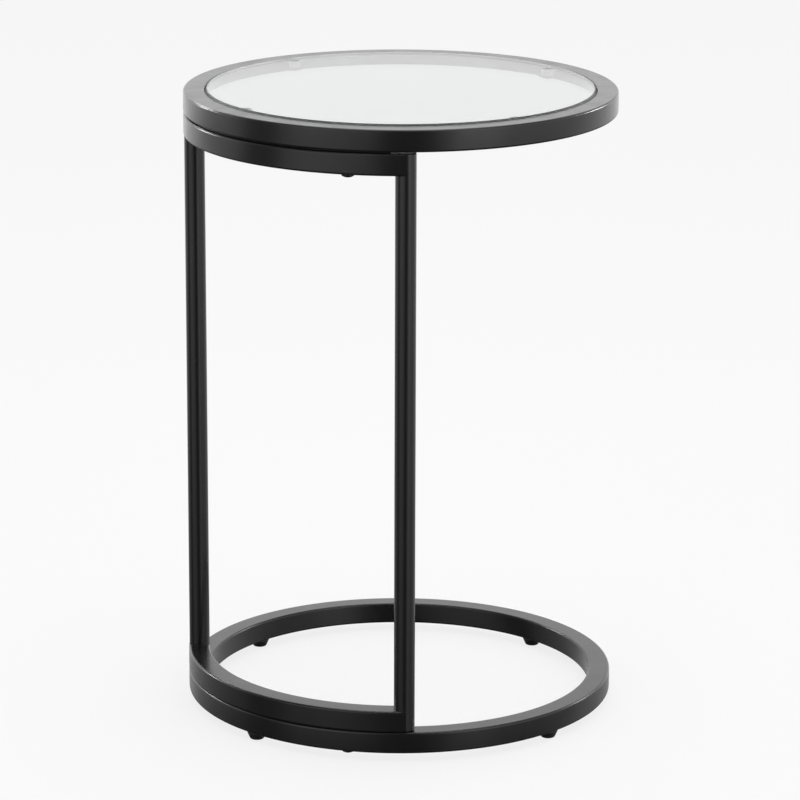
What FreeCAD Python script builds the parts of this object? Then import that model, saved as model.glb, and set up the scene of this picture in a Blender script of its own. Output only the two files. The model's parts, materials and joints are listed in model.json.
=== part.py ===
"""C shaped side table: a round glass top on a C frame of steel tube.

Two rolled rings of square tube, one at the floor and one at the top, are joined on one side only
by a welded spine: a quarter arc of the same square tube at each end of two round uprights. The
spine is bolted to both rings, so the open side of the C slides over a sofa or a bed.

Frame of the part: origin on the floor under the centre of the rings, +Z up, the spine at -X and
the open side at +X. Lengths are in millimetres and angles in degrees.
"""

import FreeCAD, Part

import math
import os

import Sketcher
from FreeCAD import Placement, Rotation, Vector

doc = FreeCAD.newDocument("side_table")

# ---------------------------------------------------------------- driving dimensions

SIZES = {
    # rolled square tube of the two rings and the two arcs
    "ring_radius": 200,
    "tube_side": 20,
    "tube_wall": 1.2,
    "tube_corner": 2,
    # heights
    "table_height": 583.5,
    "foot_height": 7.5,
    "top_gap": 1.2,
    # spine
    "spine_angle": 90,
    "upright_diameter": 19,
    "upright_wall": 1.2,
    "upright_rounding": 1.6,
    "upright_cap": 2.4,
    "arc_lip": 1.2,
    "weld_gap": 0.2,
    # glass and what carries it
    "glass_thickness": 10,
    "glass_gap": 1.3,
    "glass_proud": 1.2,
    "glass_arris": 0.8,
    "bumper_diameter": 12,
    "bumper_height": 6,
    "bumper_dome": 1.2,
    "bumper_stem": 5,
    "bumper_knob": 6.4,
    "bumper_knob_height": 1.6,
    "bumper_setback": 8.5,
    "tab_width": 15,
    "tab_reach": 15,
    "tab_thickness": 2,
    "tab_corner": 3,
    "tab_angle": -10.2,
    # bolts through the arcs, with their washers, gasket and threaded inserts
    "bolt_angle": 29.5,
    "bolt_diameter": 6,
    "bolt_length": 35,
    "bolt_point": 0.8,
    "head_diameter": 12,
    "head_height": 2.4,
    "head_crown": 6.6,
    "socket_flats": 4,
    "socket_depth": 1.5,
    "washer_diameter": 13,
    "washer_thickness": 1,
    "bolt_clearance": 0.3,
    "gasket_width": 9,
    "gasket_short": 8,
    "insert_diameter": 9,
    "insert_length": 15,
    "insert_bulge": 11.4,
    "insert_bulge_height": 3,
    "insert_clearance": 0.1,
    "thread_clearance": 0.05,
    # feet
    "foot_turn": 0,
    "foot_top_diameter": 18,
    "foot_bottom_diameter": 12.4,
    "foot_rounding": 2,
    "foot_rim": 1.2,
    "stem_diameter": 7.6,
    "stem_barb": 8.4,
    "stem_length": 9,
    "stem_clearance": 0.1,
}

sheet = doc.addObject("Spreadsheet::Sheet", "sizes")
for row, (alias, value) in enumerate(SIZES.items(), start=1):
    sheet.set(f"A{row}", alias)
    sheet.set(f"B{row}", str(value))
    sheet.setAlias(f"B{row}", alias)

# Sizes worked out from the ones above, as expressions of the same sheet.
DERIVED = {
    "tube_centre_radius": "ring_radius - tube_side / 2",
    "ring_inner_radius": "ring_radius - tube_side",
    "top_ring_z": "table_height - tube_side",
    "upper_arc_z": "table_height - 2 * tube_side - top_gap",
    "lower_arc_z": "foot_height + tube_side",
    "upright_length": "table_height - 2 * tube_side - top_gap - foot_height",
    "arc_sweep": "spine_angle * 1 deg + 2 * atan(arc_lip / (ring_radius - tube_side / 2))",
    "gasket_sweep": "(spine_angle - gasket_short) * 1 deg",
    "upright_angle": "180 - spine_angle / 2",
    "glass_radius": "ring_radius - tube_side - glass_gap",
    "glass_z": "table_height + glass_proud - glass_thickness",
    "tab_z": "table_height + glass_proud - glass_thickness - bumper_height - tab_thickness",
    "bumper_radius_place": "ring_radius - tube_side - bumper_setback",
}
for row, (alias, formula) in enumerate(DERIVED.items(), start=len(SIZES) + 2):
    sheet.set(f"A{row}", alias)
    sheet.set(f"B{row}", "=" + formula)
    sheet.setAlias(f"B{row}", alias)
doc.recompute()


def size(alias):
    """Value of a sheet cell as a plain number."""
    value = getattr(sheet, alias)
    return float(getattr(value, "Value", value))


def bind(thing, prop, formula):
    """Tie a property to the sheet. A word in angle brackets is a cell's alias."""
    thing.setExpression(prop, formula.replace("<", "sizes.").replace(">", ""))


# ---------------------------------------------------------------- helpers for bodies and sketches

nodes = []


def new_body(label):
    body = doc.addObject("PartDesign::Body", label)
    body.Label = label
    nodes.append(body)
    return body


def origin_feature(body, role):
    return next(f for f in body.Origin.OriginFeatures if f.Role == role)


def sketch_on(body, role, name):
    sketch = body.newObject("Sketcher::SketchObject", name)
    sketch.AttachmentSupport = [(origin_feature(body, role), "")]
    sketch.MapMode = "FlatFace"
    return sketch


def dimension(sketch, name, formula, *constraint):
    """Add one driving constraint, name it and tie it to the sheet."""
    index = sketch.addConstraint(Sketcher.Constraint(*constraint))
    sketch.renameConstraint(index, name)
    bind(sketch, "Constraints." + name, formula)


CORNER_ARCS = 3


def rounded_square(sketch, reach, side, corner):
    """Tube's square skin, standing on the floor line at the ring's reach. Each round corner is
    drawn as equal short arcs, so that its facets stay narrow all round a ring."""
    left, right, high = -reach, -reach + side, side
    straights = (
        (Vector(left + corner, 0, 0), Vector(right - corner, 0, 0)),
        (Vector(right, corner, 0), Vector(right, high - corner, 0)),
        (Vector(right - corner, high, 0), Vector(left + corner, high, 0)),
        (Vector(left, high - corner, 0), Vector(left, corner, 0)),
    )
    centres = (
        Vector(right - corner, corner, 0),
        Vector(right - corner, high - corner, 0),
        Vector(left + corner, high - corner, 0),
        Vector(left + corner, corner, 0),
    )
    arc_step = 90 / CORNER_ARCS
    for quarter, ((start, end), centre) in enumerate(zip(straights, centres)):
        sketch.addGeometry(Part.LineSegment(start, end), False)
        for step in range(CORNER_ARCS):
            begin = math.radians(90 * (quarter - 1) + arc_step * step)
            circle = Part.Circle(centre, Vector(0, 0, 1), corner)
            arc = Part.ArcOfCircle(circle, begin, begin + math.radians(arc_step))
            sketch.addGeometry(arc, False)
    sides = 1 + CORNER_ARCS
    bottom, inside, top, outside = 0, sides, 2 * sides, 3 * sides
    for quarter, line in enumerate((bottom, inside, top, outside)):
        first, last = line + 1, line + CORNER_ARCS
        sketch.addConstraint(Sketcher.Constraint("Tangent", line, 2, first, 1))
        sketch.addConstraint(Sketcher.Constraint("Tangent", last, 2, (last + 1) % (4 * sides), 1))
        for arc in range(first, last):
            sketch.addConstraint(Sketcher.Constraint("Coincident", arc, 2, arc + 1, 1))
            sketch.addConstraint(Sketcher.Constraint("Coincident", arc + 1, 3, first, 3))
            turn = 90 * (quarter - 1) + arc_step * (arc + 1 - first)
            dimension(sketch, f"step{arc}", f"<tube_corner> * cos({turn})",
                      "DistanceX", first, 3, arc + 1, 1, corner * math.cos(math.radians(turn)))
    for line in (bottom, top):
        sketch.addConstraint(Sketcher.Constraint("Horizontal", line))
    for line in (inside, outside):
        sketch.addConstraint(Sketcher.Constraint("Vertical", line))
    for line in (inside, top, outside):
        sketch.addConstraint(Sketcher.Constraint("Equal", bottom + 1, line + 1))
    sketch.addConstraint(Sketcher.Constraint("PointOnObject", bottom, 1, -1))
    dimension(sketch, "reach", "<ring_radius>", "DistanceX", outside, 1, -1, 1, reach)
    dimension(sketch, "width", "<tube_side>", "DistanceX", outside, 1, inside, 1, side)
    dimension(sketch, "height", "<tube_side>", "DistanceY", bottom, 1, top, 1, side)
    dimension(sketch, "corner", "<tube_corner>", "Radius", bottom + 1, corner)


def circle_at(sketch, prefix, reach_formula, reach, radius_formula, radius):
    """Circle centred on the sketch's horizontal axis, or on its origin when reach is 0."""
    index = sketch.addGeometry(
        Part.Circle(Vector(reach, 0, 0), Vector(0, 0, 1), radius), False)
    if reach:
        sketch.addConstraint(Sketcher.Constraint("PointOnObject", index, 3, -1))
        dimension(sketch, prefix + "_reach", reach_formula, "DistanceX", -1, 1, index, 3, reach)
    else:
        sketch.addConstraint(Sketcher.Constraint("Coincident", index, 3, -1, 1))
    dimension(sketch, prefix + "_radius", radius_formula, "Radius", index, radius)
    return index


def evaluate(formula):
    """Number that a formula of the sheet's words gives now."""
    total = sheet.evalExpression(formula.replace("<", "").replace(">", ""))
    return float(getattr(total, "Value", total))


def outline(sketch, corners):
    """Closed outline of straight lines. A corner is two formulas for its place, measured from the
    sketch's origin, with None for a coordinate that lies on the origin's own axis."""
    places = [Vector(*(evaluate(formula) if formula else 0 for formula in pair), 0)
              for pair in corners]
    first = len(sketch.Geometry)
    count = len(corners)
    for i, place_now in enumerate(places):
        sketch.addGeometry(Part.LineSegment(place_now, places[(i + 1) % count]), False)
    for i, (across, up) in enumerate(corners):
        line = first + i
        before = first + (i - 1) % count
        sketch.addConstraint(Sketcher.Constraint("Coincident", before, 2, line, 1))
        if across is None:
            sketch.addConstraint(Sketcher.Constraint("PointOnObject", line, 1, -2))
        else:
            dimension(sketch, f"across{line}", across, "DistanceX", -1, 1, line, 1, places[i].x)
        if up is None:
            sketch.addConstraint(Sketcher.Constraint("PointOnObject", line, 1, -1))
        else:
            dimension(sketch, f"up{line}", up, "DistanceY", -1, 1, line, 1, places[i].y)


def profile(body, name, corners):
    """Sketch on the body's XZ plane with one closed outline."""
    sketch = sketch_on(body, "XZ_Plane", name)
    outline(sketch, corners)
    doc.recompute()
    return sketch


def revolve(body, sketch, name):
    turned = body.newObject("PartDesign::Revolution", name)
    turned.Profile = sketch
    turned.ReferenceAxis = (sketch, ["V_Axis"])
    turned.Angle = 360.0
    turned.Refine = False
    return turned


def edges_where(feature, test):
    return [f"Edge{i}" for i, edge in enumerate(feature.Shape.Edges, start=1) if test(edge)]


def is_circle(edge, radius, tolerance=1e-4):
    curve = edge.Curve
    return isinstance(curve, Part.Circle) and abs(curve.Radius - radius) < tolerance


def dress(body, kind, name, base, edges, prop, formula):
    """Fillet or chamfer on named edges of the last feature."""
    dressing = body.newObject("PartDesign::" + kind, name)
    dressing.Base = (base, edges)
    bind(dressing, prop, formula)
    return dressing


def drill(body, name, reach_formula, diameter_formula, depth_formula, turn_formula=None):
    """Round hole upwards from the body's own floor, at a reach from the centre."""
    sketch = sketch_on(body, "XY_Plane", name + "_sketch")
    circle_at(sketch, "hole", reach_formula, evaluate(reach_formula),
              diameter_formula + " / 2", evaluate(diameter_formula) / 2)
    if turn_formula:
        sketch.AttachmentOffset = Placement(Vector(), Rotation(Vector(0, 0, 1), 1))
        bind(sketch, "AttachmentOffset.Rotation.Angle", turn_formula)
    doc.recompute()
    pocket = body.newObject("PartDesign::Pocket", name)
    pocket.Profile = sketch
    pocket.Reversed = True
    pocket.Refine = False
    if depth_formula:
        pocket.Type = "Length"
        bind(pocket, "Length", depth_formula)
    else:
        pocket.Type = "ThroughAll"
    return pocket


def mirror(body, name, feature):
    """Repeat a cut on the other side of the table's mirror plane."""
    twin = body.newObject("PartDesign::Mirrored", name)
    twin.Originals = [feature]
    twin.MirrorPlane = (origin_feature(body, "XZ_Plane"), [""])
    twin.Refine = False
    body.Tip = twin
    return twin


def place(thing, z_formula, reach_formula=None, angle_formula=None):
    """Put a piece at a height and, if given, at a reach and an angle about the table's axis."""
    thing.Placement = Placement(Vector(), Rotation(Vector(0, 0, 1), 1))
    bind(thing, "Placement.Base.z", z_formula)
    if reach_formula:
        bind(thing, "Placement.Base.x", f"({reach_formula}) * cos({angle_formula})")
        bind(thing, "Placement.Base.y", f"({reach_formula}) * sin({angle_formula})")
    bind(thing, "Placement.Rotation.Angle", angle_formula or "0")


# ---------------------------------------------------------------- rolled square tube

BOLT_SIDES = {"left": "180 + <bolt_angle>", "right": "180 - <bolt_angle>"}
UPRIGHT_SIDES = {"left": "360 - <upright_angle>", "right": "<upright_angle>"}
FOOT_SIDES = ("open_side", "right", "spine", "left")
HALF_TUBE = "<tube_side> / 2"
CLEARANCE_HOLE = "(<bolt_diameter> + 2 * <bolt_clearance>)"
INSERT_HOLE = "(<insert_diameter> + 2 * <insert_clearance>)"


def tube_section(body):
    """Square tube's section on the spine's side: its rounded skin and its hollow."""
    sketch = sketch_on(body, "XZ_Plane", "tube_section")
    rounded_square(sketch, size("ring_radius"), size("tube_side"), size("tube_corner"))
    far = "-1 * (<ring_radius> - <tube_wall>)"
    near = "-1 * (<ring_inner_radius> + <tube_wall>)"
    low = "<tube_wall>"
    high = "<tube_side> - <tube_wall>"
    outline(sketch, [(far, low), (near, low), (near, high), (far, high)])
    doc.recompute()
    return sketch


def rolled_tube(label, z_formula, sweep_formula=None):
    """Ring of square tube, or an arc of it centred on the spine."""
    body = new_body(label)
    tube = revolve(body, tube_section(body), "rolled_tube")
    if sweep_formula:
        tube.Midplane = True
        bind(tube, "Angle", sweep_formula)
    doc.recompute()
    place(body, z_formula)
    return body


def pair_of_holes(body, name, diameter_formula, depth_formula):
    """Two holes on the tube's centre line, one each side of the spine."""
    hole = drill(body, name, "<tube_centre_radius>", diameter_formula, depth_formula,
                 BOLT_SIDES["right"])
    doc.recompute()
    return mirror(body, name + "_pair", hole)


def saddles(body):
    """Round notches in both ends of an arc, in which the uprights stand."""
    notch = drill(body, "saddle", "<tube_centre_radius>",
                  "(<upright_diameter> + 2 * <weld_gap>)", None, UPRIGHT_SIDES["right"])
    doc.recompute()
    mirror(body, "saddle_pair", notch)


top_ring = rolled_tube("top_ring", "<top_ring_z>")
pair_of_holes(top_ring, "insert_hole", INSERT_HOLE, HALF_TUBE)

upper_arc = rolled_tube("upper_arc", "<upper_arc_z>", "<arc_sweep>")
pair_of_holes(upper_arc, "bolt_hole", CLEARANCE_HOLE, None)
saddles(upper_arc)

lower_arc = rolled_tube("lower_arc", "<lower_arc_z>", "<arc_sweep>")
pair_of_holes(lower_arc, "insert_hole", INSERT_HOLE, HALF_TUBE)
saddles(lower_arc)

base_ring = rolled_tube("base_ring", "<foot_height>")
pair_of_holes(base_ring, "bolt_hole", CLEARANCE_HOLE, None)
foot_hole = drill(base_ring, "foot_hole", "<tube_centre_radius>",
                  "(<stem_diameter> + 2 * <stem_clearance>)", HALF_TUBE, "<foot_turn>")
doc.recompute()
foot_holes = base_ring.newObject("PartDesign::PolarPattern", "foot_holes")
foot_holes.Originals = [foot_hole]
foot_holes.Axis = (origin_feature(base_ring, "Z_Axis"), [""])
foot_holes.Angle = 360
foot_holes.Occurrences = len(FOOT_SIDES)
foot_holes.Refine = False
base_ring.Tip = foot_holes
doc.recompute()

# ---------------------------------------------------------------- uprights


def upright(label, angle_formula):
    """Round tube from the base ring to just under the top ring, with a rounded cap on each end."""
    body = new_body(label)
    section = sketch_on(body, "XY_Plane", "section")
    outer = size("upright_diameter") / 2
    circle_at(section, "outer", "0", 0, "<upright_diameter> / 2", outer)
    doc.recompute()
    tube = body.newObject("PartDesign::Pad", "tube")
    tube.Profile = section
    bind(tube, "Length", "<upright_length>")
    doc.recompute()
    rims = edges_where(tube, lambda edge: is_circle(edge, outer))
    dress(body, "Fillet", "rounded_ends", tube, rims, "Radius", "<upright_rounding>")
    bore = sketch_on(body, "XY_Plane", "bore")
    circle_at(bore, "inner", "0", 0, "<upright_diameter> / 2 - <upright_wall>",
              outer - size("upright_wall"))
    bore.AttachmentOffset = Placement(Vector(), Rotation())
    bind(bore, "AttachmentOffset.Base.z", "<upright_cap>")
    doc.recompute()
    hollow = body.newObject("PartDesign::Pocket", "hollow")
    hollow.Profile = bore
    hollow.Reversed = True
    bind(hollow, "Length", "<upright_length> - 2 * <upright_cap>")
    place(body, "<lower_arc_z>", "<tube_centre_radius>", angle_formula)


for side, angle in UPRIGHT_SIDES.items():
    upright("upright_" + side, angle)

# ---------------------------------------------------------------- glass, bumpers and tabs


def glass_pane(label):
    """Round pane with a small arris ground on both edges."""
    body = new_body(label)
    sketch = sketch_on(body, "XY_Plane", "round")
    circle_at(sketch, "edge", "0", 0, "<glass_radius>", size("glass_radius"))
    doc.recompute()
    pane = body.newObject("PartDesign::Pad", "pane")
    pane.Profile = sketch
    bind(pane, "Length", "<glass_thickness>")
    doc.recompute()
    rims = edges_where(pane, lambda edge: is_circle(edge, size("glass_radius")))
    dress(body, "Chamfer", "arris", pane, rims, "Size", "<glass_arris>")
    place(body, "<glass_z>")


def glass_tab(label, angle_formula):
    """Flat lug welded inside the top ring, with a hole for its bumper and a rounded nose."""
    body = new_body(label)
    half = size("tab_width") / 2
    root = size("ring_inner_radius") - size("weld_gap")
    nose = size("ring_inner_radius") - size("tab_reach")
    root_x = math.sqrt(root ** 2 - half ** 2)
    sketch = sketch_on(body, "XY_Plane", "plan")
    lower = Part.LineSegment(Vector(nose, -half, 0), Vector(root_x, -half, 0))
    swing = math.asin(half / root)
    weld_line = Part.ArcOfCircle(Part.Circle(Vector(), Vector(0, 0, 1), root), -swing, swing)
    upper = Part.LineSegment(Vector(root_x, half, 0), Vector(nose, half, 0))
    front = Part.LineSegment(Vector(nose, half, 0), Vector(nose, -half, 0))
    for curve in (lower, weld_line, upper, front):
        sketch.addGeometry(curve, False)
    for i in range(4):
        sketch.addConstraint(Sketcher.Constraint("Coincident", i, 2, (i + 1) % 4, 1))
    sketch.addConstraint(Sketcher.Constraint("Coincident", 1, 3, -1, 1))
    sketch.addConstraint(Sketcher.Constraint("Horizontal", 0))
    sketch.addConstraint(Sketcher.Constraint("Horizontal", 2))
    sketch.addConstraint(Sketcher.Constraint("Symmetric", 3, 1, 3, 2, -1))
    dimension(sketch, "root", "<ring_inner_radius> - <weld_gap>", "Radius", 1, root)
    dimension(sketch, "nose", "<ring_inner_radius> - <tab_reach>",
              "DistanceX", -1, 1, 3, 1, nose)
    dimension(sketch, "width", "<tab_width>", "DistanceY", 0, 1, 2, 2, 2 * half)
    circle_at(sketch, "hole", "<bumper_radius_place>", size("bumper_radius_place"),
              "<bumper_stem> / 2 + <stem_clearance>",
              size("bumper_stem") / 2 + size("stem_clearance"))
    doc.recompute()
    plate = body.newObject("PartDesign::Pad", "plate")
    plate.Profile = sketch
    bind(plate, "Length", "<tab_thickness>")
    doc.recompute()

    def nose_corner(edge):
        upright_edge = isinstance(edge.Curve, Part.Line) and abs(edge.tangentAt(0).z) > 0.99
        return upright_edge and abs(edge.CenterOfMass.x - nose) < 1e-4

    dress(body, "Fillet", "nose", plate, edges_where(plate, nose_corner), "Radius",
          "<tab_corner>")
    place(body, "<tab_z>", None, angle_formula)


def glass_bumper(label, angle_formula):
    """Clear bumper with a low dome, a stem through the tab and a knob that holds it there."""
    body = new_body(label)
    radius = "<bumper_diameter> / 2"
    neck = "<bumper_stem> / 2"
    knob = "<bumper_knob> / 2"
    under = "-1 * <tab_thickness>"
    tip = "-1 * <tab_thickness> - <bumper_knob_height>"
    sketch = profile(body, "section", [
        (None, tip), (neck, tip), (knob, "-1 * <tab_thickness> - <bumper_knob_height> * 0.4"),
        (knob, under), (neck, under), (neck, None), (radius, None),
        (radius, "<bumper_height> - <bumper_dome>"),
        (radius + " - <bumper_dome>", "<bumper_height>"), (None, "<bumper_height>"),
    ])
    revolve(body, sketch, "bumper")
    place(body, "<tab_z> + <tab_thickness>", "<bumper_radius_place>", angle_formula)


TAB_COUNT = 4

glass_pane("glass_top")
for number in range(TAB_COUNT):
    tab_place = f"<tab_angle> + {number} * 360 / {TAB_COUNT}"
    glass_tab(f"glass_tab_{number + 1}", tab_place)
    glass_bumper(f"glass_bumper_{number + 1}", tab_place)

# ---------------------------------------------------------------- bolts and what goes with them


def bolt(label, z_formula, angle_formula):
    """Button head bolt, head down, with a hexagon socket and a chamfered point."""
    body = new_body(label)
    shank = "<bolt_diameter> / 2"
    sketch = profile(body, "section", [
        (None, "-1 * <head_height>"), ("<head_crown> / 2", "-1 * <head_height>"),
        ("<head_diameter> * 0.44", "-0.62 * <head_height>"),
        ("<head_diameter> / 2", "-0.18 * <head_height>"), ("<head_diameter> / 2", None),
        (shank, None), (shank, "<bolt_length> - <bolt_point>"),
        (shank + " - <bolt_point>", "<bolt_length>"), (None, "<bolt_length>"),
    ])
    revolve(body, sketch, "turned_bolt")
    doc.recompute()
    socket = sketch_on(body, "XY_Plane", "socket_sketch")
    across = size("socket_flats") / math.sqrt(3)
    corners = [Vector(across * math.cos(math.radians(60 * i)),
                      across * math.sin(math.radians(60 * i)), 0) for i in range(6)]
    for i in range(6):
        socket.addGeometry(Part.LineSegment(corners[i], corners[(i + 1) % 6]), False)
    ring = socket.addGeometry(Part.Circle(Vector(), Vector(0, 0, 1), across), True)
    for i in range(6):
        socket.addConstraint(Sketcher.Constraint("Coincident", i, 2, (i + 1) % 6, 1))
        socket.addConstraint(Sketcher.Constraint("PointOnObject", i, 1, ring))
    for i in range(5):
        socket.addConstraint(Sketcher.Constraint("Equal", i, i + 1))
    socket.addConstraint(Sketcher.Constraint("Coincident", ring, 3, -1, 1))
    socket.addConstraint(Sketcher.Constraint("PointOnObject", 0, 1, -1))
    dimension(socket, "corners", "<socket_flats> / sqrt(3)", "Radius", ring, across)
    socket.AttachmentOffset = Placement(Vector(), Rotation())
    bind(socket, "AttachmentOffset.Base.z", "-1 * <head_height>")
    doc.recompute()
    recess = body.newObject("PartDesign::Pocket", "socket")
    recess.Profile = socket
    recess.Reversed = True
    bind(recess, "Length", "<socket_depth>")
    place(body, z_formula, "<tube_centre_radius>", angle_formula)


def flat_ring(label, outer_formula, inner_formula, thickness_formula, z_formula, angle_formula):
    """Flat washer: a disc less its hole."""
    disc = doc.addObject("Part::Cylinder", label + "_disc")
    bind(disc, "Radius", outer_formula + " / 2")
    bind(disc, "Height", thickness_formula)
    hole = doc.addObject("Part::Cylinder", label + "_hole")
    bind(hole, "Radius", inner_formula + " / 2")
    bind(hole, "Height", thickness_formula)
    washer = doc.addObject("Part::Cut", label)
    washer.Base, washer.Tool = disc, hole
    washer.Label = label
    place(washer, z_formula, "<tube_centre_radius>", angle_formula)
    nodes.append(washer)


def gasket(label):
    """Thin strip that fills the gap between the upper arc and the top ring and keeps them apart."""
    body = new_body(label)
    far = "-1 * (<tube_centre_radius> + <gasket_width> / 2)"
    near = "-1 * (<tube_centre_radius> - <gasket_width> / 2)"
    sketch = profile(body, "section", [
        (far, None), (near, None), (near, "<top_gap>"), (far, "<top_gap>")])
    strip = revolve(body, sketch, "strip")
    strip.Midplane = True
    bind(strip, "Angle", "<gasket_sweep>")
    doc.recompute()
    pair_of_holes(body, "bolt_hole", CLEARANCE_HOLE, None)
    place(body, "<top_ring_z> - <top_gap>")


def threaded_insert(label, z_formula, angle_formula):
    """Blind rivet nut: a sleeve through the tube wall, swelled out behind it."""
    body = new_body(label)
    bore = "<bolt_diameter> / 2 + <thread_clearance>"
    sleeve = "<insert_diameter> / 2"
    bulge = "<insert_bulge> / 2"
    behind = "<tube_wall>"
    swelled = "<tube_wall> + <insert_bulge_height> / 2"
    narrow = "<tube_wall> + <insert_bulge_height>"
    sketch = profile(body, "section", [
        (bore, None), (sleeve, None), (sleeve, behind), (bulge, behind), (bulge, swelled),
        (sleeve, narrow), (sleeve, "<insert_length>"), (bore, "<insert_length>"),
    ])
    revolve(body, sketch, "sleeve")
    place(body, z_formula, "<tube_centre_radius>", angle_formula)


gasket("top_gasket")
for side, angle in BOLT_SIDES.items():
    for end, seat in (("top", "<upper_arc_z>"), ("base", "<foot_height>")):
        washer_floor = seat + " - <washer_thickness>"
        bolt(f"{end}_bolt_{side}", washer_floor, angle)
        flat_ring(f"{end}_bolt_washer_{side}", "<washer_diameter>", CLEARANCE_HOLE,
                  "<washer_thickness>", washer_floor, angle)
    threaded_insert(f"top_insert_{side}", "<top_ring_z>", angle)
    threaded_insert(f"base_insert_{side}", "<lower_arc_z>", angle)

# ---------------------------------------------------------------- feet


def foot(label, angle_formula):
    """Tapered foot with a barbed stem pressed into the base ring."""
    body = new_body(label)
    top = "<foot_top_diameter> / 2"
    bottom = "<foot_bottom_diameter> / 2"
    stem = "<stem_diameter> / 2"
    barb = "<stem_barb> / 2"
    wall_top = "<foot_height> + <tube_wall>"
    tip = "<foot_height> + <stem_length>"
    sketch = profile(body, "section", [
        (None, None), (bottom, None), (top, "<foot_height> - <foot_rim>"),
        (top, "<foot_height>"), (stem, "<foot_height>"), (stem, wall_top),
        (barb, wall_top + " + 0.1"), (stem, wall_top + " + 2"),
        (stem, tip + " - 1.5"), (stem + " - 1", tip), (None, tip),
    ])
    turned = revolve(body, sketch, "turned_foot")
    doc.recompute()
    floor_edge = edges_where(
        turned, lambda edge: is_circle(edge, size("foot_bottom_diameter") / 2))
    dress(body, "Fillet", "floor_rounding", turned, floor_edge, "Radius", "<foot_rounding>")
    place(body, "0", "<tube_centre_radius>", angle_formula)


for number, side in enumerate(FOOT_SIDES):
    foot("foot_" + side, f"<foot_turn> + {number} * 360 / {len(FOOT_SIDES)}")

# ---------------------------------------------------------------- checks and export

doc.recompute()

faults = []
for thing in doc.Objects:
    if "Invalid" in thing.State or "Error" in thing.State:
        faults.append(f"{thing.Label}: {thing.State}")
for node in nodes:
    shape = node.Shape
    if shape.isNull() or not shape.isValid() or len(shape.Solids) != 1:
        faults.append(f"{node.Label}: shape is null, not valid or not one solid")
if faults:
    raise RuntimeError("; ".join(faults))

os.makedirs("parts", exist_ok=True)
for node in nodes:
    node.Shape.exportStep(f"parts/{node.Label}.step")
    box = node.Shape.BoundBox
    print(f"{node.Label:26s} volume {node.Shape.Volume:10.1f} mm3  "
          f"z {box.ZMin:7.2f} to {box.ZMax:7.2f}")
print(len(nodes), "nodes")
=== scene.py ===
# %% [markdown]
# # A C shaped side table
# The table is two rings of rolled square tube, one on the floor and one at the top, joined on one
# side only by two round uprights and two curved rails. A round glass pane lies in the top ring.
# Every steel, glass and plastic piece already has its exact shape, so the lesson loads them as a
# fixed frame. What is left is what a shop adds and light finds: the weld beads, the powder coat,
# the glass, and the studio that shows them.

# %% Load the frame
import json
import math

import bpy
from mathutils import Matrix, Vector


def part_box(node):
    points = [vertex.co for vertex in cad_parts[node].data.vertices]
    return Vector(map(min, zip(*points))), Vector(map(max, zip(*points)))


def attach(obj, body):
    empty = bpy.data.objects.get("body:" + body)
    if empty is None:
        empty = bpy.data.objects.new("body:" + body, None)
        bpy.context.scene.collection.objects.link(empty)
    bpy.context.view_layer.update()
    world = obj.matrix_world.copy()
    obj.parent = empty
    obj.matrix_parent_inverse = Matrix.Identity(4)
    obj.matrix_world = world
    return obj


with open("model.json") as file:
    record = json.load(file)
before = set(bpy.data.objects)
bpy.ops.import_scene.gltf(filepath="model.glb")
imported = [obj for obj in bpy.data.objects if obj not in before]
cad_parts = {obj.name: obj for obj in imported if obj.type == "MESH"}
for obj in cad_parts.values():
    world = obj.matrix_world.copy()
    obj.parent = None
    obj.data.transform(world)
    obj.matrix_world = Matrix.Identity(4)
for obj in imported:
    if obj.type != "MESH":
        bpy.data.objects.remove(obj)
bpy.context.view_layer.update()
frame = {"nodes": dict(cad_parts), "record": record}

nodes = frame["nodes"]
print("pieces in the frame:", len(nodes))

# %% [markdown]
# ## Small helpers
# Operators act on whatever is selected, and a freshly loaded frame is selected all over. One
# helper clears the selection before each new piece, and one closes a piece: it applies the place,
# turn and size to the mesh, so that the object itself sits at the origin.

# %% Selection and finishing helpers
MM = 0.001


def select_none():
    """Leave edit mode and deselect everything."""
    if bpy.context.mode != "OBJECT":
        bpy.ops.object.mode_set(mode="OBJECT")
    bpy.ops.object.select_all(action="DESELECT")


def select_only(piece):
    """Make one piece the selected and the active one."""
    select_none()
    piece.select_set(True)
    bpy.context.view_layer.objects.active = piece


def close_piece(piece, name, material):
    """Name a finished piece, settle its place into its mesh, dress it and tie it to the frame."""
    select_only(piece)
    bpy.ops.object.transform_apply(location=True, rotation=True, scale=True)
    bpy.ops.object.mode_set(mode="EDIT")
    bpy.ops.mesh.select_all(action="SELECT")
    bpy.ops.mesh.normals_make_consistent(inside=False)
    bpy.ops.object.mode_set(mode="OBJECT")
    bpy.ops.object.shade_smooth()
    piece.name = name
    piece.data.materials.clear()
    piece.data.materials.append(material)
    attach(piece, "frame")


def copy_of(piece):
    """A copy with a mesh of its own."""
    twin = piece.copy()
    twin.data = piece.data.copy()
    bpy.context.collection.objects.link(twin)
    return twin


# %% [markdown]
# ## Where things are
# The uprights stand at 45 degrees either side of the spine's middle, on the centre line of the
# tube. Each rail's end reaches a little past the upright's axis, and that reach is its lip. These
# few sizes place the weld beads. They are read from the frame where its boxes can tell them.

# %% Sizes that place the welds
RAIL_LOW, RAIL_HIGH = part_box("lower_arc"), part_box("upper_arc")
RING_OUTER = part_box("top_ring")[1].x
TUBE = RAIL_LOW[1].z - RAIL_LOW[0].z
TUBE_MIDDLE = RING_OUTER - TUBE / 2
RING_INNER = RING_OUTER - TUBE
UPRIGHT_RADIUS = 9.5 * MM
UPRIGHT_ANGLE = math.radians(225)
RAIL_LIP = 1.2 * MM
print("tube", round(TUBE, 4), "middle of the tube at", round(TUBE_MIDDLE, 4))

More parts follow.
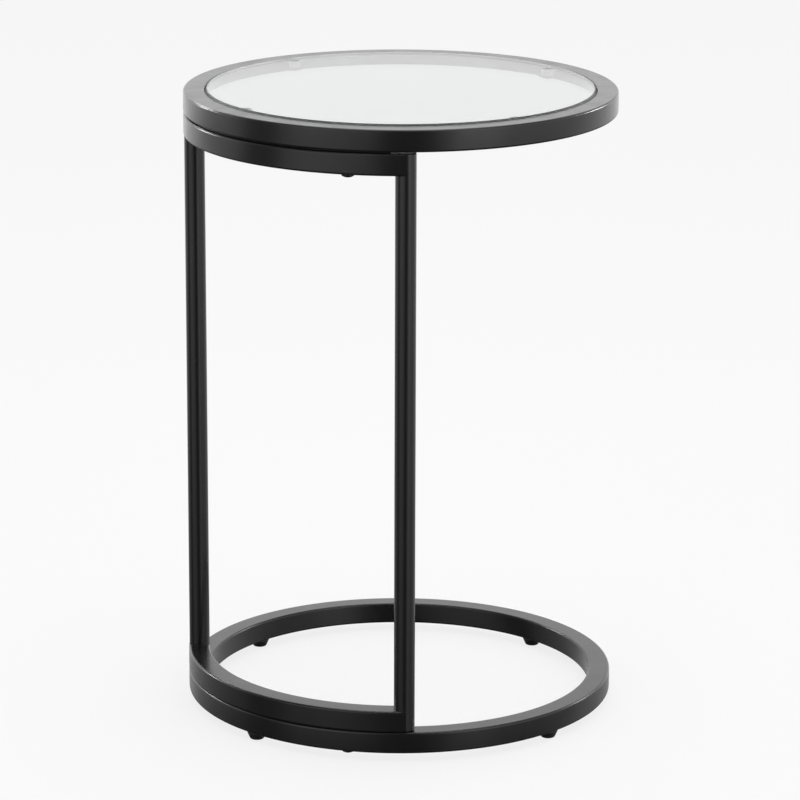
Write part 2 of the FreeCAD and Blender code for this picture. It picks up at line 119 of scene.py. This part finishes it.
# %% [markdown]
# ## Node groups: skin and settled dust
# Powder coat melts and flows, and it cools with a fine, shallow ripple that painters call orange
# peel. Moulded plastic and plated steel have a fine grain of much the same kind. Five materials
# here need such a skin, so it is a node group, made once, with its own scale in each of them. A
# second group gives a very thin bloom of dust on faces that look up, broken by noise. Both only
# put out masks and heights; the shaders stay in the materials.

# %% Group: skin
def new_group(name, inputs, outputs):
    """An empty shader group with named number inputs, given with their defaults, and outputs."""
    group = bpy.data.node_groups.new(name, "ShaderNodeTree")
    for socket, value in inputs.items():
        made = group.interface.new_socket(socket, in_out="INPUT", socket_type="NodeSocketFloat")
        made.default_value = value
    for socket in outputs:
        group.interface.new_socket(socket, in_out="OUTPUT", socket_type="NodeSocketFloat")
    return group, group.nodes.new("NodeGroupInput"), group.nodes.new("NodeGroupOutput")


def noise(tree, scale, detail, roughness=0.5):
    """A noise texture on Object coordinates."""
    place = tree.nodes.new("ShaderNodeTexCoord")
    texture = tree.nodes.new("ShaderNodeTexNoise")
    texture.inputs["Detail"].default_value = detail
    texture.inputs["Roughness"].default_value = roughness
    tree.links.new(place.outputs["Object"], texture.inputs["Vector"])
    if isinstance(scale, (int, float)):
        texture.inputs["Scale"].default_value = scale
    else:
        tree.links.new(scale, texture.inputs["Scale"])
    return texture.outputs["Fac"]


skin, skin_in, skin_out = new_group("skin", {"Scale": 900.0}, ("Height", "Cloud"))
skin.links.new(noise(skin, skin_in.outputs["Scale"], detail=2.0), skin_out.inputs["Height"])
skin.links.new(noise(skin, scale=38.0, detail=4.0, roughness=0.6), skin_out.inputs["Cloud"])
print("group", skin.name, "has", len(skin.nodes), "nodes")

# %% Group: settled dust
def spread(tree, value, low, high, to_low, to_high):
    """Map a value between two limits onto two others, and hold it there beyond them."""
    ramp = tree.nodes.new("ShaderNodeMapRange")
    for socket, number in (("From Min", low), ("From Max", high),
                           ("To Min", to_low), ("To Max", to_high)):
        ramp.inputs[socket].default_value = number
    tree.links.new(value, ramp.inputs["Value"])
    return ramp.outputs["Result"]


def times(tree, first, second):
    """The product of two sockets, or of a socket and a number."""
    product = tree.nodes.new("ShaderNodeMath")
    product.operation = "MULTIPLY"
    for socket, value in zip(product.inputs, (first, second)):
        if isinstance(value, (int, float)):
            socket.default_value = value
        else:
            tree.links.new(value, socket)
    return product.outputs["Value"]


dust, dust_in, dust_out = new_group("settled_dust", {"Amount": 0.05}, ("Mask",))
facing = dust.nodes.new("ShaderNodeNewGeometry")
parts = dust.nodes.new("ShaderNodeSeparateXYZ")
dust.links.new(facing.outputs["Normal"], parts.inputs["Vector"])
upward = spread(dust, parts.outputs["Z"], 0.6, 1.0, 0.0, 1.0)
motes = spread(dust, noise(dust, scale=260.0, detail=6.0, roughness=0.7), 0.45, 0.75, 0.0, 1.0)
dust.links.new(times(dust, times(dust, upward, motes), dust_in.outputs["Amount"]),
               dust_out.inputs["Mask"])
print("group", dust.name, "has", len(dust.nodes), "nodes")

# %% [markdown]
# ## Materials
# A helper makes a material with one Principled shader. What is the same all over, such as the
# index of refraction, is typed on the shader. What changes over the surface is linked in.

# %% Material helpers
def new_material(name):
    """A material, its node tree and its shader."""
    material = bpy.data.materials.new(name)
    material.use_nodes = True
    return material, material.node_tree, material.node_tree.nodes["Principled BSDF"]


def use_group(tree, group, values):
    """Place a group in a material, with this material's own values."""
    placed = tree.nodes.new("ShaderNodeGroup")
    placed.node_tree = group
    for socket, value in values.items():
        placed.inputs[socket].default_value = value
    return placed


def mix_colours(tree, mask, first, second):
    """The first colour where the mask is 0, the second where it is 1."""
    mix = tree.nodes.new("ShaderNodeMix")
    mix.data_type = "RGBA"
    mix.inputs["A"].default_value = (*first, 1)
    mix.inputs["B"].default_value = (*second, 1)
    tree.links.new(mask, mix.inputs["Factor"])
    return mix.outputs["Result"]


def bump_from(tree, shader, height, depth):
    """Tilt the shader's normals by a height that is so many metres deep."""
    bump = tree.nodes.new("ShaderNodeBump")
    bump.inputs["Distance"].default_value = depth
    bump.inputs["Strength"].default_value = 1.0
    tree.links.new(height, bump.inputs["Height"])
    tree.links.new(bump.outputs["Normal"], shader.inputs["Normal"])


def coated(name, black, dusty, gloss, peel_scale, peel_depth, dust_amount):
    """Dark coat with orange peel, cloudy gloss and a trace of dust."""
    material, tree, shader = new_material(name)
    surface = use_group(tree, skin, {"Scale": peel_scale})
    settled = use_group(tree, dust, {"Amount": dust_amount})
    colour = mix_colours(tree, settled.outputs["Mask"], black, dusty)
    tree.links.new(colour, shader.inputs["Base Color"])
    roughness = spread(tree, surface.outputs["Cloud"], 0.3, 0.7, *gloss)
    tree.links.new(roughness, shader.inputs["Roughness"])
    bump_from(tree, shader, surface.outputs["Height"], peel_depth)
    return material


# %% [markdown]
# ### Black powder coat
# The coat is a semi-gloss black. Its own colour is almost nothing, so nearly all that is seen of
# it is reflection: grey where it mirrors the bright studio at a low angle, near black where it
# faces the dark side of the room. Over the welds it lies thicker, duller and rougher.

# %% Powder coat
COAT_BLACK = (0.0085, 0.0085, 0.0088)
COAT_DUSTY = (0.16, 0.155, 0.15)
powder_coat = coated("powder_coat", COAT_BLACK, COAT_DUSTY, gloss=(0.2, 0.27),
                     peel_scale=1100.0, peel_depth=0.012 * MM, dust_amount=0.04)
weld_coat = coated("weld_coat", COAT_BLACK, COAT_DUSTY, gloss=(0.24, 0.32),
                   peel_scale=1600.0, peel_depth=0.02 * MM, dust_amount=0.04)
print("coats:", powder_coat.name, weld_coat.name)

# %% [markdown]
# ### Moulded plastic, blackened steel, zinc
# The feet and the gasket under the top ring are plain moulded plastic, duller than the coat. The
# bolts and washers are blackened steel: a metal with a dark colour and a soft grain. The threaded
# inserts inside the tubes are zinc plated, with the faint patchy bloom that plating has.

# %% Plastic and metals
GRAIN_DEPTH = 0.008 * MM
moulded_plastic = coated("foot_plastic", (0.014, 0.014, 0.0142), (0.14, 0.135, 0.13),
                         gloss=(0.42, 0.55), peel_scale=2600.0, peel_depth=0.03 * MM,
                         dust_amount=0.02)


def metal(name, dark, light, gloss, grain):
    """Bare or plated metal with a patchy colour and a fine grain."""
    material, tree, shader = new_material(name)
    surface = use_group(tree, skin, {"Scale": grain})
    colour = mix_colours(tree, surface.outputs["Cloud"], dark, light)
    tree.links.new(colour, shader.inputs["Base Color"])
    shader.inputs["Metallic"].default_value = 1.0
    roughness = spread(tree, surface.outputs["Height"], 0.3, 0.7, *gloss)
    tree.links.new(roughness, shader.inputs["Roughness"])
    bump_from(tree, shader, surface.outputs["Height"], GRAIN_DEPTH)
    return material


blackened_steel = metal("blackened_steel", (0.028, 0.027, 0.027), (0.05, 0.048, 0.047),
                        gloss=(0.28, 0.42), grain=1400.0)
zinc_plate = metal("zinc_plate", (0.5, 0.47, 0.41), (0.66, 0.63, 0.57),
                   gloss=(0.3, 0.45), grain=1200.0)
print("metals:", blackened_steel.name, zinc_plate.name)

# %% [markdown]
# ### Glass
# The pane is clear float glass. Its faces are polished, but the small bevel ground on each edge is
# slightly frosted, so the roughness rises with the distance from the table's axis. That distance
# comes from Object coordinates, because the pane's axis is the frame's own Z axis.

# %% Clear glass
PANE_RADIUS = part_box("glass_top")[1].x
FROST_BEGINS, FROST_FULL = PANE_RADIUS - 1.1 * MM, PANE_RADIUS - 0.6 * MM
FROST, SMEARS = 0.5, 0.012

clear_glass, tree, shader = new_material("clear_glass")
shader.inputs["IOR"].default_value = 1.5
shader.inputs["Transmission Weight"].default_value = 1.0
place = tree.nodes.new("ShaderNodeTexCoord")
flat = tree.nodes.new("ShaderNodeVectorMath")
flat.operation = "MULTIPLY"
flat.inputs[1].default_value = (1, 1, 0)
from_axis = tree.nodes.new("ShaderNodeVectorMath")
from_axis.operation = "LENGTH"
tree.links.new(place.outputs["Object"], flat.inputs[0])
tree.links.new(flat.outputs["Vector"], from_axis.inputs[0])
ground_edge = spread(tree, from_axis.outputs["Value"], FROST_BEGINS, FROST_FULL, 0.0, 1.0)
smears = spread(tree, noise(tree, scale=9.0, detail=5.0, roughness=0.6), 0.5, 0.8, 0.0, SMEARS)
roughness = tree.nodes.new("ShaderNodeMath")
roughness.operation = "ADD"
tree.links.new(smears, roughness.inputs[0])
tree.links.new(times(tree, ground_edge, FROST), roughness.inputs[1])
tree.links.new(roughness.outputs["Value"], shader.inputs["Roughness"])
tree.links.new(mix_colours(tree, ground_edge, (0.965, 0.985, 0.975), (0.86, 0.91, 0.88)),
               shader.inputs["Base Color"])
print("glass pane radius", round(PANE_RADIUS, 4))

# %% [markdown]
# ### Clear bumpers
# The bumpers are soft clear plastic, a little cloudy, so light spreads in them and they read
# paler than what is behind them.

# %% Clear bumpers
clear_bumper, tree, shader = new_material("clear_bumper")
shader.inputs["IOR"].default_value = 1.46
shader.inputs["Transmission Weight"].default_value = 0.75
cloudy = noise(tree, scale=420.0, detail=3.0)
tree.links.new(spread(tree, cloudy, 0.3, 0.7, 0.12, 0.3), shader.inputs["Roughness"])
tree.links.new(mix_colours(tree, cloudy, (0.86, 0.87, 0.86), (0.93, 0.93, 0.92)),
               shader.inputs["Base Color"])
bump_from(tree, shader, cloudy, 0.02 * MM)
print("bumper:", clear_bumper.name)

# %% [markdown]
# ### Each piece in its finish
# The frame's record names a finish for every piece. One table ties those names to the materials
# above, so that no piece is dressed by hand and none is left out.

# %% Dress the frame's pieces
FINISHES = {
    "black_coat": powder_coat,
    "black_plastic": moulded_plastic,
    "black_steel": blackened_steel,
    "zinc_steel": zinc_plate,
    "clear_glass": clear_glass,
    "clear_bumper": clear_bumper,
}
slot_of = {part["node"]: part["material_slot"] for part in frame["record"]["subparts"]}
for name, piece in nodes.items():
    piece.data.materials.clear()
    piece.data.materials.append(FINISHES[slot_of[name]])
print("dressed", len(nodes), "pieces in", len(FINISHES), "finishes")

# %% [markdown]
# ### Even shading on the tubes
# The tubes' round corners are narrow facets beside long flat ones. Where a normal is the plain
# average of both, the highlight along a corner breaks into dashes. Three live modifiers put that
# right and leave the mesh itself alone: the loose triangles are joined, hard edges are split
# again, and each normal leans to the larger face.

# %% Smooth highlights along the corners
TUBES = ("top_ring", "upper_arc", "lower_arc", "base_ring", "upright_left", "upright_right")
HARD_EDGE = math.radians(40)


def even_shading(piece):
    """Live modifiers that give the rounded corners one smooth run of normals."""
    joined = piece.modifiers.new("joined", "WELD")
    joined.merge_threshold = 0.01 * MM
    hard_edges = piece.modifiers.new("hard_edges", "EDGE_SPLIT")
    hard_edges.split_angle = HARD_EDGE
    hard_edges.use_edge_sharp = False
    piece.modifiers.new("area_normals", "WEIGHTED_NORMAL")


for name in TUBES:
    even_shading(nodes[name])
print("evened:", TUBES)

# %% [markdown]
# ## Weld beads
# Each rail is cut out at its ends like a saddle, and the upright stands in the cut. The welder
# runs a bead round the upright where it leaves the rail, and a short upright bead down each lip.
# A bead is a row of overlapping ripples. It is made as a small ring of vertices, extruded step by
# step, with every other ring a little larger, and closed to a blunt end.

# %% A straight bead
BEAD_SIDES = 12
FIRST_RING = 0.55  # size of the first ring against the bead's radius
OPENING, CLOSING = 1.9, 0.5  # the two blunt ends: from the first ring, and to the last one
RIPPLE = 1.16


def edit_first_ring(radius, place, turn):
    """Start a bead as a small ring of vertices with a face in it, in edit mode."""
    select_none()
    bpy.ops.mesh.primitive_circle_add(vertices=BEAD_SIDES, radius=radius * FIRST_RING,
                                      fill_type="NGON", location=place, rotation=turn)
    bpy.ops.object.transform_apply(location=True, rotation=True, scale=True)
    bpy.ops.object.mode_set(mode="EDIT")
    bpy.ops.mesh.select_all(action="SELECT")


def ripple(step, steps):
    """Size of a ring next to the one before it: blunt ends, and ripples between them."""
    if step == 0:
        return OPENING
    if step == steps - 1:
        return CLOSING
    return RIPPLE if step % 2 else 1 / RIPPLE


def straight_bead(radius, length, steps):
    """A rippled bead that stands on the origin."""
    edit_first_ring(radius, (0, 0, 0), (0, 0, 0))
    height = 0.0
    for step in range(steps):
        height += length / steps
        bpy.ops.mesh.extrude_region_move(
            TRANSFORM_OT_translate={"value": (0, 0, length / steps)})
        size = ripple(step, steps)
        bpy.ops.transform.resize(value=(size, size, 1), center_override=(0, 0, height))
    bpy.ops.object.mode_set(mode="OBJECT")
    return bpy.context.object


# %% A bead round an upright
def round_bead(radius, reach, start, sweep, steps):
    """A rippled bead round the Z axis, from one angle on through a sweep, in radians."""
    def centre(step):
        return Matrix.Rotation(start + sweep * step / steps, 3, "Z") @ Vector((reach, 0, 0))

    edit_first_ring(radius, centre(0), (math.pi / 2, 0, start))
    for step in range(steps):
        before, after = centre(step), centre(step + 1)
        bpy.ops.mesh.extrude_region_move(TRANSFORM_OT_translate={"value": after - before})
        bpy.ops.transform.rotate(value=-sweep / steps, orient_axis="Z",
                                 center_override=after)
        size = ripple(step, steps)
        bpy.ops.transform.resize(value=(size, size, size), center_override=after)
    bpy.ops.object.mode_set(mode="OBJECT")
    return bpy.context.object


# %% [markdown]
# ### Beads of one joint, then copies
# One joint is made at the left upright: two straight beads down the rail's lips and one round
# bead on the face that the upright leaves by. The right upright's are the same, mirrored. The
# upper rail's are the same again, but its collar lies on the rail's underside.

# %% Beads at the uprights
OFF_METAL = 0.1 * MM  # a bead's core stands this far off the metal
LIP_BEAD_RADIUS, COLLAR_BEAD_RADIUS = 0.4 * MM, 0.2 * MM
LIP_BEAD_INSET = 1.2 * MM  # a lip's bead ends this far short of the rail's faces


def place_bead(bead, name, matrix):
    """Move a bead to its joint and finish it."""
    bead.matrix_world = matrix
    close_piece(bead, name, weld_coat)


def at_upright(side, height):
    """Where an upright's axis is: its own X points out from the table's axis, and its own Y
    towards the open side on the left upright, away from it on the right one."""
    angle = UPRIGHT_ANGLE if side == "left" else -UPRIGHT_ANGLE
    return Matrix.Rotation(angle, 4, "Z") @ Matrix.Translation((TUBE_MIDDLE, 0, height))


lip_model = straight_bead(LIP_BEAD_RADIUS, TUBE - 2 * LIP_BEAD_INSET, steps=16)
lip_angle = math.asin(RAIL_LIP / UPRIGHT_RADIUS)
collar_model = round_bead(COLLAR_BEAD_RADIUS, UPRIGHT_RADIUS + OFF_METAL, lip_angle,
                          -(math.pi + 2 * lip_angle), steps=34)
lip_reach = math.sqrt(UPRIGHT_RADIUS ** 2 - RAIL_LIP ** 2)

# heights of the rail's underside, and of the face with the collar
joints = {"lower": (RAIL_LOW[0].z, RAIL_LOW[1].z), "upper": (RAIL_HIGH[0].z, RAIL_HIGH[0].z)}
made = 0
for side, across in (("left", 1), ("right", -1)):
    mirrored = Matrix.Diagonal((1, across, 1, 1))
    for rail, (rail_bottom, collar_height) in joints.items():
        for edge, out in (("outer", 1), ("inner", -1)):
            spot = Matrix.Translation((out * (lip_reach + OFF_METAL), RAIL_LIP + OFF_METAL,
                                       LIP_BEAD_INSET))
            place_bead(copy_of(lip_model), f"weld_{rail}_{side}_{edge}",
                       at_upright(side, rail_bottom) @ mirrored @ spot)
            made += 1
        place_bead(copy_of(collar_model), f"weld_{rail}_{side}_collar",
                   at_upright(side, collar_height) @ mirrored)
        made += 1
print("beads at the uprights:", made)

# %% [markdown]
# ### Beads under the glass tabs
# Each tab that carries the glass is held by one short bead along its underside, where it meets
# the ring's inner wall.

# %% Beads at the tabs
TAB_COUNT = 4
TAB_BEAD_RADIUS, TAB_BEAD_LENGTH = 0.8 * MM, 12 * MM
TAB_BEAD_INSET = 0.45 * MM  # the bead's core runs this far in from the ring's wall
TAB_BEAD_RISE = 0.1 * MM  # and this far above the tab's underside
TAB_LOW, TAB_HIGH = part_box("glass_tab_1")
TAB_TURN = math.atan2(TAB_LOW.y + TAB_HIGH.y, TAB_LOW.x + TAB_HIGH.x)

tab_model = straight_bead(TAB_BEAD_RADIUS, TAB_BEAD_LENGTH, steps=12)
lying = (Matrix.Translation((RING_INNER - TAB_BEAD_INSET, TAB_BEAD_LENGTH / 2,
                             TAB_LOW.z + TAB_BEAD_RISE))
         @ Matrix.Rotation(math.pi / 2, 4, "X"))
for number in range(TAB_COUNT):
    turn = Matrix.Rotation(TAB_TURN + math.tau * number / TAB_COUNT, 4, "Z")
    place_bead(copy_of(tab_model), f"weld_tab_{number + 1}", turn @ lying)
for model in (lip_model, collar_model, tab_model):
    bpy.data.objects.remove(model)

# %% [markdown]
# ## The studio
# A black, glossy object is lit by what it mirrors. The room is white, with a dark side behind the
# camera and one dark gap to its left, so that each round tube gets a bright edge, a dark core and
# soft grey panels between them. That room is painted on the world by direction. Its brightness
# changes with the compass angle, in one way for the walls and in another for the ground, which
# the base ring mirrors. It falls off overhead and straight down.

# %% World: the compass
# compass degrees, brightness of the wall there, brightness of the ground there
ROOM = (
    (0, 1.35, 0.36), (64, 1.4, 0.41), (84, 1.35, 0.28), (104, 0.92, 0.25), (126, 1.0, 0.11),
    (140, 0.18, 0.05), (152, 0.25, 0.07), (166, 1.2, 0.1), (186, 1.2, 0.14), (206, 0.85, 0.09),
    (218, 0.1, 0.03), (236, 0.1, 0.03), (246, 0.7, 0.09), (256, 1.9, 0.2), (268, 1.9, 0.2),
    (284, 1.35, 0.11), (304, 1.1, 0.16), (324, 1.05, 0.28), (344, 1.15, 0.47), (360, 1.35, 0.36),
)
BRIGHTEST = 2.0

world = bpy.data.worlds.new("white_room")
bpy.context.scene.world = world
world.use_nodes = True
tree = world.node_tree
background = tree.nodes["Background"]
background.inputs["Color"].default_value = (1, 1, 1, 1)
look = tree.nodes.new("ShaderNodeTexCoord")
axes = tree.nodes.new("ShaderNodeSeparateXYZ")
tree.links.new(look.outputs["Generated"], axes.inputs["Vector"])
compass = tree.nodes.new("ShaderNodeMath")
compass.operation = "ARCTAN2"
tree.links.new(axes.outputs["Y"], compass.inputs[0])
tree.links.new(axes.outputs["X"], compass.inputs[1])
turns = tree.nodes.new("ShaderNodeMath")
turns.operation = "WRAP"
turns.inputs[1].default_value = 1.0
turns.inputs[2].default_value = 0.0
tree.links.new(times(tree, compass.outputs["Value"], 0.5 / math.pi), turns.inputs[0])
print("stops round the compass:", len(ROOM))

# %% World: walls, ground and how they fade
# two heights of look in degrees, and the factor at each of them
GROUND_TO_WALL = (-20.5, -8.5, 0.0, 1.0)
FADE_DOWN = (-50, -24, 0.3, 1.0)
FADE_UP = (12, 50, 1.0, 0.4)


def panels(levels):
    """Brightness round the compass."""
    ramp = tree.nodes.new("ShaderNodeValToRGB")
    ramp.color_ramp.interpolation = "EASE"
    stops = ramp.color_ramp.elements
    stops[0].position, stops[1].position = 0.0, 1.0
    for degrees, _, _ in ROOM[1:-1]:
        stops.new(degrees / 360)
    for stop, level in zip(stops, levels):
        stop.color = (level / BRIGHTEST,) * 3 + (1,)
    tree.links.new(turns.outputs["Value"], ramp.inputs["Fac"])
    return times(tree, ramp.outputs["Color"], BRIGHTEST)


def by_height(low, high, at_low, at_high):
    """A factor that changes between two heights of look, in degrees."""
    return spread(tree, axes.outputs["Z"], math.sin(math.radians(low)),
                  math.sin(math.radians(high)), at_low, at_high)


walls = panels([wall for _, wall, _ in ROOM])
ground = panels([below for _, _, below in ROOM])
surroundings = tree.nodes.new("ShaderNodeMix")
surroundings.data_type = "FLOAT"
tree.links.new(by_height(*GROUND_TO_WALL), surroundings.inputs["Factor"])
tree.links.new(ground, surroundings.inputs["A"])
tree.links.new(walls, surroundings.inputs["B"])
room = times(tree, surroundings.outputs["Result"],
             times(tree, by_height(*FADE_DOWN), by_height(*FADE_UP)))
print("wall from", min(wall for _, wall, _ in ROOM), "to", max(wall for _, wall, _ in ROOM))

# %% [markdown]
# ### The strip in the glass, and the backdrop
# The flat glass mirrors one low band of the far wall. A slightly darker strip there gives the
# pane its pale grey tone. The camera itself doesn't see the painted room: where it looks past the
# floor, it gets one plain pale backdrop.

# %% World: strip and backdrop
STRIP_HEIGHT = 10.8  # degrees above the horizon
STRIP_HALF_WIDTH = 0.025  # in the look's own Z, which runs from -1 to 1
STRIP_LEVEL = 0.84
BACKDROP = 0.95

in_strip = tree.nodes.new("ShaderNodeMath")
in_strip.operation = "COMPARE"
in_strip.inputs[1].default_value = math.sin(math.radians(STRIP_HEIGHT))
in_strip.inputs[2].default_value = STRIP_HALF_WIDTH
tree.links.new(axes.outputs["Z"], in_strip.inputs[0])
room = times(tree, room, spread(tree, in_strip.outputs["Value"], 0.0, 1.0, 1.0, STRIP_LEVEL))
seen = tree.nodes.new("ShaderNodeLightPath")
strength = tree.nodes.new("ShaderNodeMix")
strength.data_type = "FLOAT"
tree.links.new(seen.outputs["Is Camera Ray"], strength.inputs["Factor"])
tree.links.new(room, strength.inputs["A"])
strength.inputs["B"].default_value = BACKDROP
tree.links.new(strength.outputs["Result"], background.inputs["Strength"])
print("nodes in the world:", len(tree.nodes))

# %% [markdown]
# ### Floor
# One wide pale disc carries the table and takes its soft shadow. To the camera, and less strongly
# through the glass, most of it is plain light, so that it joins the backdrop without a line. The
# tubes don't mirror it: they mirror the world's painted ground.

# %% Floor
FLOOR_RADIUS = 14.0
SELF_LIT = 0.8  # the part of the floor's look that is plain light
LIT_TO_CAMERA, LIT_THROUGH_GLASS = 1.0, 0.48

select_none()
bpy.ops.mesh.primitive_circle_add(vertices=96, radius=FLOOR_RADIUS, fill_type="NGON",
                                  location=(0, 0, 0))
floor = bpy.context.object
floor.name = "floor"
pale_floor, tree, shader = new_material("pale_floor")
shader.inputs["Roughness"].default_value = 0.9
shader.inputs["Specular IOR Level"].default_value = 0.0
tree.links.new(mix_colours(tree, noise(tree, scale=1.5, detail=2.0), (0.93, 0.93, 0.93),
                           (0.95, 0.95, 0.95)), shader.inputs["Base Color"])
floor.data.materials.append(pale_floor)
light_path = tree.nodes.new("ShaderNodeLightPath")
plain_light = tree.nodes.new("ShaderNodeEmission")
tree.links.new(spread(tree, light_path.outputs["Is Camera Ray"], 0.0, 1.0, LIT_THROUGH_GLASS,
                      LIT_TO_CAMERA), plain_light.inputs["Strength"])
self_lit = tree.nodes.new("ShaderNodeMath")
self_lit.operation = "MAXIMUM"
for socket, ray in zip(self_lit.inputs, ("Is Camera Ray", "Is Transmission Ray")):
    tree.links.new(times(tree, light_path.outputs[ray], SELF_LIT), socket)
blend = tree.nodes.new("ShaderNodeMixShader")
tree.links.new(self_lit.outputs["Value"], blend.inputs["Fac"])
tree.links.new(shader.outputs["BSDF"], blend.inputs[1])
tree.links.new(plain_light.outputs["Emission"], blend.inputs[2])
tree.links.new(blend.outputs["Shader"], tree.nodes["Material Output"].inputs["Surface"])
floor.visible_glossy = False
print("floor radius", FLOOR_RADIUS)

# %% [markdown]
# ### Lights
# One wide softbox overhead lights the whole table evenly. Three narrow cards add the fine bright
# lines along the tubes' upper edges: a high one to the left for the top ring, a low one beside it
# for the arcs and the base, and one to the right. Their light is kept to a cone, so the lines fade
# out at their ends. Their angles keep them out of the glass, and mostly out of the flat faces,
# when the table is seen square on from a side.

# %% Lights
AIM = Vector((0, 0, 0.4))
CARD_REACH = 1.8
CARD_CONE = math.radians(60)
# name, compass degrees, height, length and width, power
CARDS = (
    ("left_card", 77, 1.5, (0.5, 0.27), 0.85),
    ("low_card", 106, 0.65, (0.42, 0.27), 1.1),
    ("right_card", 342, 0.9, (0.6, 0.27), 1.2),
)


def softbox(name, degrees, reach, height, size, power):
    """Area light that far out from the table's axis and that high, aimed at the middle."""
    select_none()
    bpy.ops.object.light_add(type="AREA")
    lamp = bpy.context.object
    lamp.name = name
    lamp.data.shape = "RECTANGLE"
    lamp.data.size, lamp.data.size_y = size
    lamp.data.energy = power
    around = math.radians(degrees)
    place = Vector((reach * math.cos(around), reach * math.sin(around), height))
    facing = (place - AIM).to_track_quat("Z", "Y").to_matrix().to_4x4()
    lamp.matrix_world = Matrix.Translation(place) @ facing
    return lamp


softbox("overhead", degrees=0, reach=0.1, height=3.2, size=(2.4, 2.4), power=32)
for name, degrees, height, size, power in CARDS:
    card = softbox(name, degrees, CARD_REACH, height, size, power)
    card.data.spread = CARD_CONE
    card.visible_diffuse = False

# %% [markdown]
# ## Camera
# A long lens from chest height keeps the rings' ellipses calm. The table is seen from the spine's
# left, so that one upright stands in front and the other at the left edge.

# %% Camera
SENSOR_WIDTH = 36
LENS = 182.57
CAMERA_SIDE = -46.4
CAMERA_DISTANCE = 3.6716
CAMERA_HEIGHT = 1.2774
LOOK_DOWN = 15.105
ROLL = 0.164

select_none()
bpy.ops.object.camera_add()
camera = bpy.context.object
camera.name = "camera"
camera.data.sensor_width = SENSOR_WIDTH
camera.data.lens = LENS
camera.matrix_world = (
    Matrix.Rotation(math.radians(CAMERA_SIDE), 4, "Z")
    @ Matrix.Translation((0, -CAMERA_DISTANCE, CAMERA_HEIGHT))
    @ Matrix.Rotation(math.radians(90 - LOOK_DOWN), 4, "X")
    @ Matrix.Rotation(math.radians(ROLL), 4, "Z"))
bpy.context.scene.camera = camera
bpy.context.scene.view_settings.view_transform = "Standard"
print("camera at", [round(v, 3) for v in camera.matrix_world.translation])
